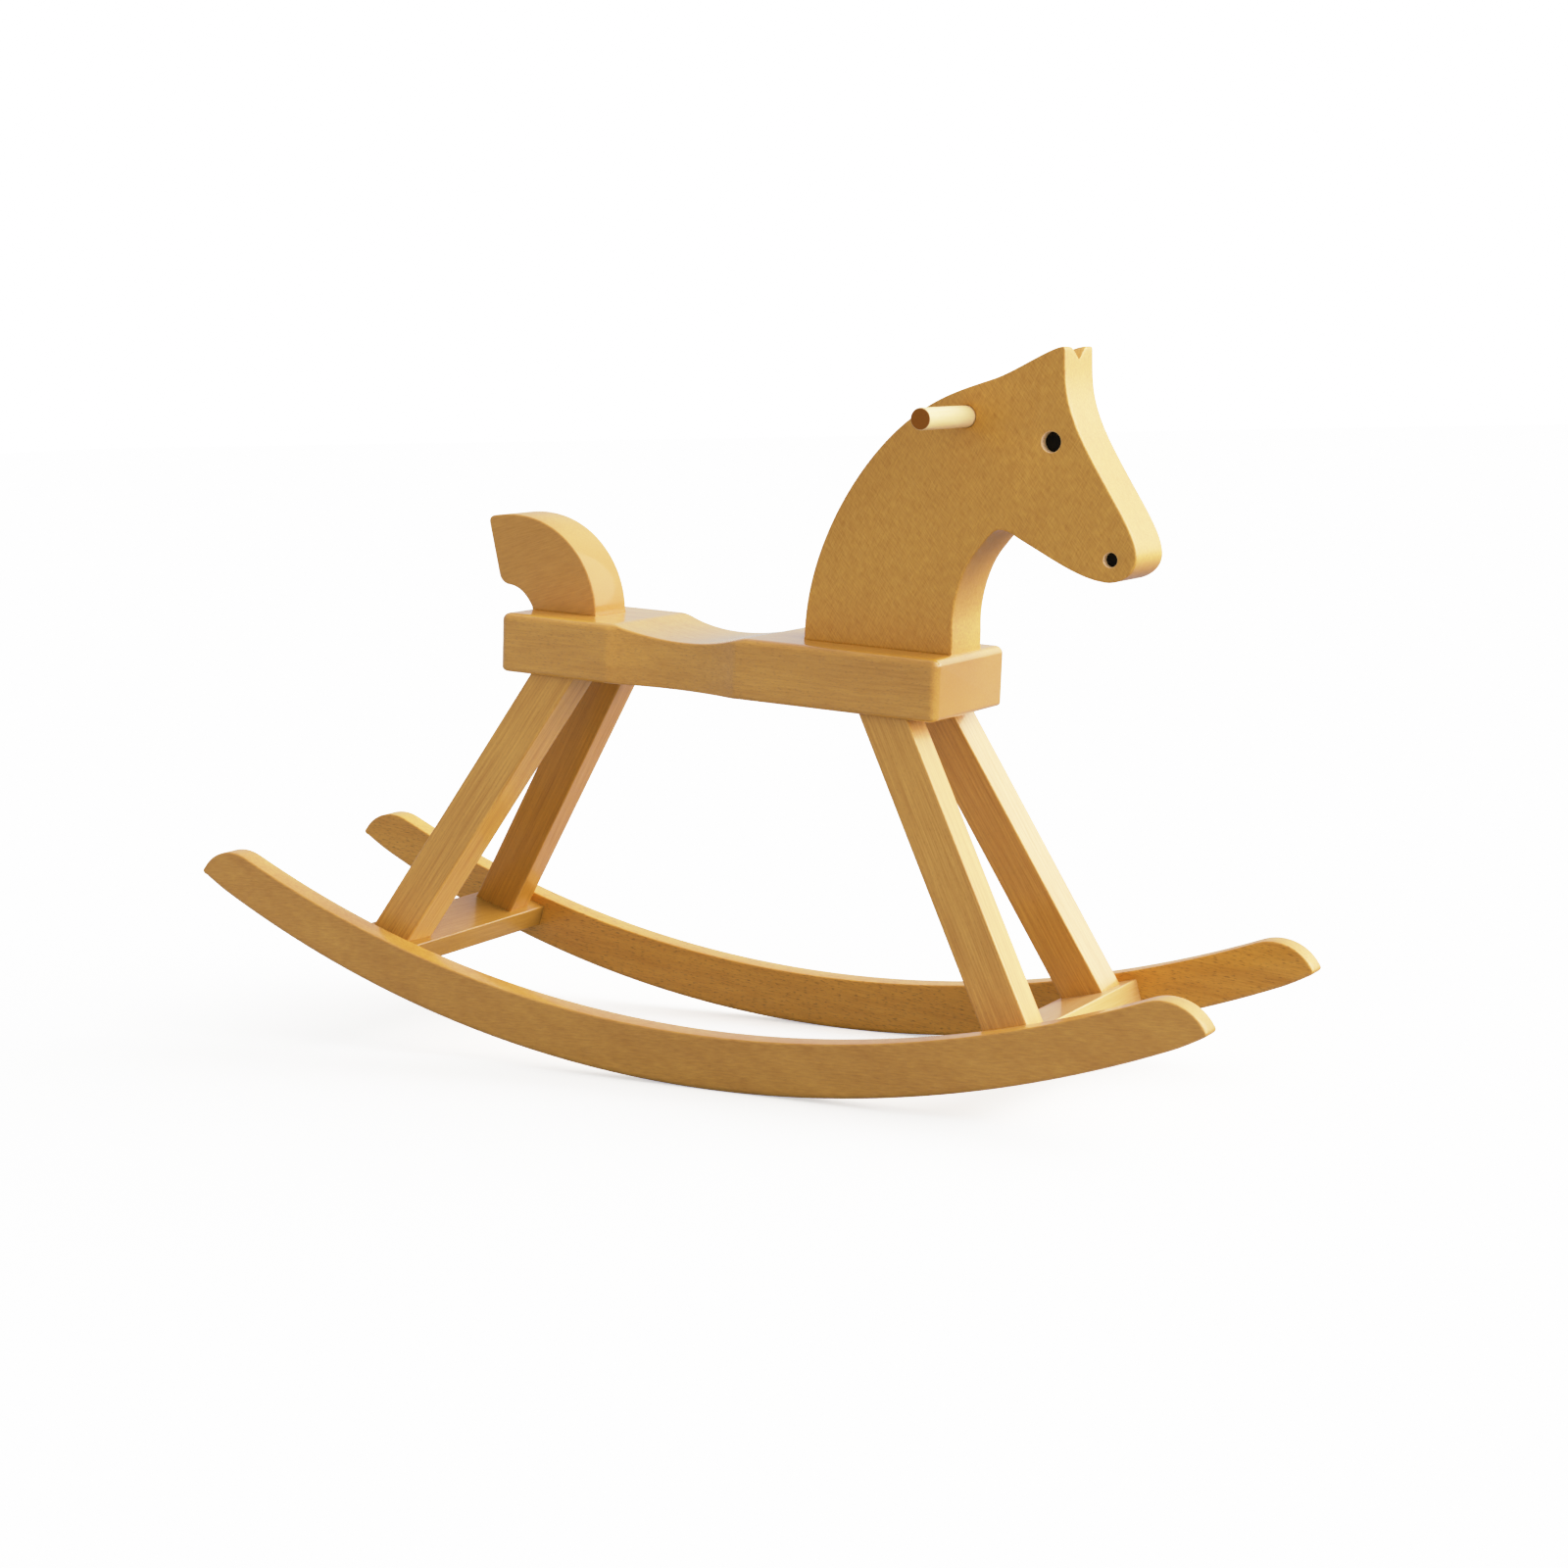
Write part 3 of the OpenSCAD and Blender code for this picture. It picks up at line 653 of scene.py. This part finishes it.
def headMesh():
    # the outline cut from a board and drilled, with rings across it that are closest under the notch
    strokes = np.vstack([penStroke(head["mane"])[:-1], penStroke(head["face"])])
    loop = evenLoop(standing(strokes), 0.7, head["corner"], flatBelow=-letIn)
    drilled = [{"at": head["gripAt"], "radius": grip["radius"] + grip["gap"], "through": True, "sides": [1]}]
    drilled += [{"at": head[what + "At"], "radius": head[what + "Radius"], "through": False, "sides": [-1, 1],
                 "depth": head[what + "Depth"] + head["plug"]} for what in ("eye", "nostril")]
    for hole in drilled:
        hole["rim"] = hole["radius"] + head["rim"]
    across = [-17, -13, -11, -9, -6.5, -4, -2, -1, -0.4, 0, 0.4, 1, 2, 4, 6.5, 9, 11, 13, 17]
    points, faces = boardMesh(loop, head["thick"], head["edge"], drilled, across, notchedEars)
    return points + [head["at"], 0, seatTop], faces


def drilledShare(points):
    # 1 on the walls of the eye and nostril holes, fading out over the last half millimetre to the rim
    share = np.zeros(len(points))
    inside = np.clip((head["thick"] / 2 - np.abs(points[:, 1])) / 0.5, 0, 1)
    for what in ("eye", "nostril"):
        x, z = head[what + "At"]
        away = np.hypot(points[:, 0] - head["at"] - x, points[:, 2] - seatTop - z)
        share = np.where(away < head[what + "Radius"] + head["rim"] - 0.01, inside, share)
    return share


def tailMesh():
    # the outline cut from a board
    loop = evenLoop(standing(penStroke(tail["outline"])), 0.7, tail["corner"], flatBelow=-letIn)
    points, faces = boardMesh(loop, tail["thick"], tail["edge"])
    return points + [tail["at"], 0, seatTop], faces


headGrain = {"along": (0.66, 0, -0.75), "face": (0, 1, 0), "cutFrom": (510, 77, 12)}
tailGrain = {"along": (1, 0, 0.35), "face": (0, 1, 0), "cutFrom": (-770, 340, 90)}
headShape = headMesh()
makePiece("head_wood", headShape, headGrain, beech["head"], "beech", "head", sharp=50,
          bareLitWall=drilledShare(headShape[0]))
makePiece("tail_wood", tailMesh(), tailGrain, beech["tail"], "beech", "tail")
print("head and tail made")


def turned(profile, count):
    # a profile (y, radius) turned about the y axis, with a flat face over each end
    turn = np.linspace(0, 2 * np.pi, count, endpoint=False)
    y, r = profile[:, :1], profile[:, 1:]
    return cappedTube(np.stack([r * np.cos(turn), y + 0 * turn, r * np.sin(turn)], -1))


def gripProfile():
    # half the length, then its mirror: thinner where it is glued, and a quarter round at the end
    r, end, edge = grip["radius"], grip["length"] / 2, grip["edge"]
    glued = r - grip["thinner"]
    wall = head["thick"] / 2 + grip["clear"]
    a = np.radians(np.linspace(0, 90, 6))
    half = np.vstack([
        [[0, glued], [wall - 0.4, glued], [wall, r], [wall + 1, r], [50, r], [end - edge - 1, r]],
        np.column_stack([end - edge * (1 - np.sin(a)), r - edge * (1 - np.cos(a))]),
        [[end, r - edge - 0.6]]])
    return np.vstack([half[:0:-1] * [-1, 1], half])


def plugProfile(radius, side, sink):
    # a thin disc: a chamfer behind, a rounded edge in front, and a face domed as dome (across / r)^2
    face, edge, dome = head["thick"] / 2 - sink, 0.5, 0.3
    back, r = face - head["plug"], radius - grip["gap"]
    a = np.radians(np.linspace(0, 90, 5))
    across = np.linspace(r - edge, 0.3, 8)
    rows = np.vstack([[[back, r - dome], [back + dome, r]],
                      np.column_stack([face - edge * (1 - np.sin(a)) - dome, r - edge * (1 - np.cos(a))]),
                      np.column_stack([face - dome * (across / r) ** 2, across])])
    return rows * [side, 1]


def placed(mesh, at):
    # moves a turned piece to its hole in the head
    points, faces = mesh
    return points + [head["at"] + at[0], 0, seatTop + at[1]], faces


gripGrain = {"along": (0, 1, 0), "face": (1, 0, 0), "cutFrom": (60, 20, 400)}
makePiece("hand_grip_wood", placed(turned(gripProfile(), 96), head["gripAt"]), gripGrain, beech["grip"],
          "grip_beech", "hand_grip")
for sideName, side in (("right", -1), ("left", 1)):
    for what in ("eye", "nostril"):
        profile = plugProfile(head[what + "Radius"], side, head[what + "Depth"])
        makePiece(what + "_" + sideName + "_plug", placed(turned(profile, 64), head[what + "At"]),
                  {**gripGrain, "cutFrom": (0, 0, 0)}, black, "black_plug", what + "_" + sideName)
print("grip, eyes and nostrils made")


leg = {
    "width": 33.0, "thick": 28.0, "rake": 30.6, "splay": 8.2, "arris": 1.3,
    "x": {"front": 154.5, "rear": -122.0}, "y": 35.0,   # where its axis meets the seat's underside
    "intoSeat": 0.8, "intoBoard": 0.4,                  # let in a little, so that no light gets through
}
board = {
    "width": 45.0, "thick": 17.5, "arris": 1.1,
    "rise": 31.0,                                       # its top, above the running edge
    "angle": {"front": 17.4, "rear": -15.4},            # its place round the rockers' circle
    "intoRocker": 0.3,
}


def rotation(axis, degrees):
    return np.array(Matrix.Rotation(math.radians(degrees), 3, axis))


def legMesh(foreName, side):
    # a rounded bar carried down its own axis, with both ends cut on the planes that it stands between
    fore = 1 if foreName == "front" else -1
    turn = rotation("X", side * leg["splay"]) @ rotation("Y", -fore * leg["rake"])
    start = np.array([leg["x"][foreName], side * leg["y"], seat["under"]])
    flat = roundedSection(leg["width"], leg["thick"], leg["arris"], leg["arris"])
    ring = start + np.column_stack([flat, np.zeros(len(flat))]) @ turn.T
    axis = turn @ np.array([0, 0, -1])
    a = math.radians(board["angle"][foreName])
    upward = np.array([-math.sin(a), 0, math.cos(a)])
    reach = stance["runRadius"] - board["rise"] + leg["intoBoard"]
    boardTop = np.array([0, 0, stance["runRadius"]]) - upward * reach
    seatFace = np.array([0, 0, seat["under"] + leg["intoSeat"]])
    up = np.array([0, 0, 1.0])
    toTop = ((seatFace - ring) @ up / (axis @ up))[:, None]
    toFoot = ((boardTop - ring) @ upward / (axis @ upward))[:, None]
    rings = [ring + axis * (toTop + (toFoot - toTop) * t) for t in np.linspace(0, 1, 5)]
    return cappedTube(np.array(rings)), axis, turn[:, 1]


def boardBarMesh(foreName):
    # a rounded bar across the horse, tilted to lie square on the rockers' curve
    a = board["angle"][foreName]
    turn = rotation("Y", -a)
    half = rocker["track"] / 2 - rocker["thickness"] + board["intoRocker"]
    flat = roundedSection(board["width"], board["thick"], board["arris"], board["arris"])
    drop = board["rise"] - board["thick"] / 2 - stance["runRadius"]
    rings = [np.column_stack([flat[:, 0], np.full(len(flat), y), flat[:, 1] + drop]) @ turn.T
             + [0, 0, stance["runRadius"]] for y in np.linspace(-half, half, 5)]
    return cappedTube(np.array(rings))


for foreName, fore in (("front", 1), ("rear", -1)):
    for sideName, side in (("right", -1), ("left", 1)):
        mesh, axis, face = legMesh(foreName, side)
        cut = {"along": axis, "face": face, "cutFrom": (310 * fore, 95 * side, 40 * fore + 11 * side)}
        # the rear left leg takes the darker plank, which is painted shade
        plank = beech["deepLeg" if fore < 0 < side else "leg"]
        makePiece("leg_" + foreName + "_" + sideName + "_wood", mesh, cut, plank, "beech",
                  "leg_" + foreName + "_" + sideName)
    # each foot board's plank holds painted light and shade: the front one paler, the rear one deeper
    cut = {"along": (0, 1, 0), "face": (0, 0, 1), "cutFrom": (600 * fore, 260, 17)}
    makePiece("foot_board_" + foreName + "_wood", boardBarMesh(foreName), cut, beech[foreName + "Board"],
              "beech", "foot_board_" + foreName)
print("legs and foot boards made")

for name, node in frame["nodes"].items():
    if "dowels" in name:
        node.data.materials.clear()
        node.data.materials.append(dowelBeech)


studio = {
    "floorSize": 40.0,
    "floorGrey": 0.38,                     # what the wood sees of the floor
    "floorSeen": 1.2, "floorGlow": 0.46,   # what the camera sees: over 1, so the paper burns out to white
    "bright": (0.86, 0.42, 0.27),          # the room is brightest this way, and falls off away from it
    "room": [(-1.0, 0.52), (-0.4, 0.57), (0.2, 0.68), (0.7, 1.5), (1.0, 3.2)],
    "sun": {"from": (0.78, 0.38, 0.42), "strength": 2.9, "spread": 75.0},
    "white": 2.6,                          # scene brightness that prints as white
    "film": [(0.0, 0.0), (0.2, 0.2), (0.42, 0.45), (0.65, 0.66), (1.0, 0.82), (1.5, 0.93), (2.6, 1.0)],
    "filmBlue": [(0.07, 0.07), (0.16, 0.2), (0.32, 0.345), (0.6, 0.6)],   # lifts the blue of lit wood
}
camera = {
    "azimuth": 30.4228, "elevation": 8.3482, "roll": -1.6116, "lens": 62.815,
    "eye": (1.051173, -1.7065939, 0.495065),
}


def makeFloor():
    # matt grey paper under strong light: it is exposed to white, yet throws only a little light back up
    half = studio["floorSize"] / 2
    data = bpy.data.meshes.new("floor")
    corners = [(sx * half, sy * half, 0) for sx, sy in ((-1, -1), (1, -1), (1, 1), (-1, 1))]
    data.from_pydata(corners, [], [(0, 1, 2, 3)])
    floor = bpy.data.objects.new("floor", data)
    bpy.context.scene.collection.objects.link(floor)
    material, tree = newMaterial("PaleSweepPaper")
    grey, seen = studio["floorGrey"], studio["floorSeen"]
    paper = addNode(tree, "ShaderNodeBsdfDiffuse", {"Color": (grey, grey, grey, 1)})
    bright = addNode(tree, "ShaderNodeBsdfDiffuse", {"Color": (seen, seen, seen, 1)})
    glow = addNode(tree, "ShaderNodeEmission", {"Strength": studio["floorGlow"]})
    shown = addNode(tree, "ShaderNodeAddShader", {0: bright.outputs["BSDF"], 1: glow.outputs["Emission"]})
    ray = addNode(tree, "ShaderNodeLightPath").outputs["Is Camera Ray"]
    mixed = addNode(tree, "ShaderNodeMixShader",
                    {0: ray, 1: paper.outputs["BSDF"], 2: shown.outputs["Shader"]})
    addNode(tree, "ShaderNodeOutputMaterial", {"Surface": mixed.outputs["Shader"]})
    data.materials.append(material)


def makeSky():
    # room light as a ramp on the dot product of the direction with the brightest one
    world = bpy.data.worlds.new("Studio")
    bpy.context.scene.world = world
    world.use_nodes = True
    tree = world.node_tree
    tree.nodes.clear()
    direction = addNode(tree, "ShaderNodeTexCoord").outputs["Generated"]
    bright = Vector(studio["bright"]).normalized()
    facing = addNode(tree, "ShaderNodeVectorMath", {0: direction, 1: bright}, operation="DOT_PRODUCT")
    share = addNode(tree, "ShaderNodeMapRange", {"Value": facing.outputs["Value"], "From Min": -1.0})
    ramp = addNode(tree, "ShaderNodeValToRGB", {"Fac": share.outputs["Result"]})
    ramp.color_ramp.interpolation = "EASE"
    most = max(level for _, level in studio["room"])
    stops = ramp.color_ramp.elements
    for _ in studio["room"][2:]:
        stops.new(0.5)
    for stop, (dot, level) in zip(stops, studio["room"]):
        stop.position = (dot + 1) / 2
        stop.color = (level / most, level / most, level / most, 1)
    lit = addNode(tree, "ShaderNodeBackground", {"Color": ramp.outputs["Color"], "Strength": most})
    seen = addNode(tree, "ShaderNodeBackground", {"Color": (1, 1, 1, 1), "Strength": studio["white"]})
    ray = addNode(tree, "ShaderNodeLightPath").outputs["Is Camera Ray"]
    mixed = addNode(tree, "ShaderNodeMixShader",
                    {0: ray, 1: lit.outputs["Background"], 2: seen.outputs["Background"]})
    addNode(tree, "ShaderNodeOutputWorld", {"Surface": mixed.outputs["Shader"]})


def makeSun():
    light = bpy.data.lights.new("sun", "SUN")
    light.energy = studio["sun"]["strength"]
    light.angle = math.radians(studio["sun"]["spread"])
    lamp = bpy.data.objects.new("sun", light)
    lamp.rotation_euler = Vector(studio["sun"]["from"]).to_track_quat("Z", "Y").to_euler()
    bpy.context.scene.collection.objects.link(lamp)


def makeCamera():
    az, el, roll = (math.radians(camera[k]) for k in ("azimuth", "elevation", "roll"))
    back = Vector((math.sin(az) * math.cos(el), -math.cos(az) * math.cos(el), math.sin(el)))
    right = Vector((math.cos(az), math.sin(az), 0))
    up = back.cross(right)
    x = right * math.cos(roll) + up * math.sin(roll)
    y = up * math.cos(roll) - right * math.sin(roll)
    data = bpy.data.cameras.new("camera")
    data.lens = camera["lens"]
    data.sensor_width = 36
    data.clip_start, data.clip_end = 0.05, 50
    eye = bpy.data.objects.new("camera", data)
    eye.matrix_world = Matrix.Translation(camera["eye"]) @ Matrix((x, y, back)).transposed().to_4x4()
    bpy.context.scene.collection.objects.link(eye)
    bpy.context.scene.camera = eye


def setFilm():
    # prints like slide film: straight in the middle, with a long soft shoulder towards white
    settings = bpy.context.scene.view_settings
    settings.view_transform = "Standard"
    settings.use_curve_mapping = True
    curves = settings.curve_mapping
    curves.white_level = (studio["white"],) * 3
    blue, whole = curves.curves[2], curves.curves[3]
    film = [(light / studio["white"], shown) for light, shown in studio["film"]]
    whole.points[0].location, whole.points[-1].location = film[0], film[-1]
    for light, shown in film[1:-1]:
        whole.points.new(light, shown)
    for light, lifted in studio["filmBlue"]:
        blue.points.new(light / studio["white"], lifted / studio["white"])
    curves.update()


makeFloor()
makeSky()
makeSun()
makeCamera()
setFilm()
print("stage, light and camera made")
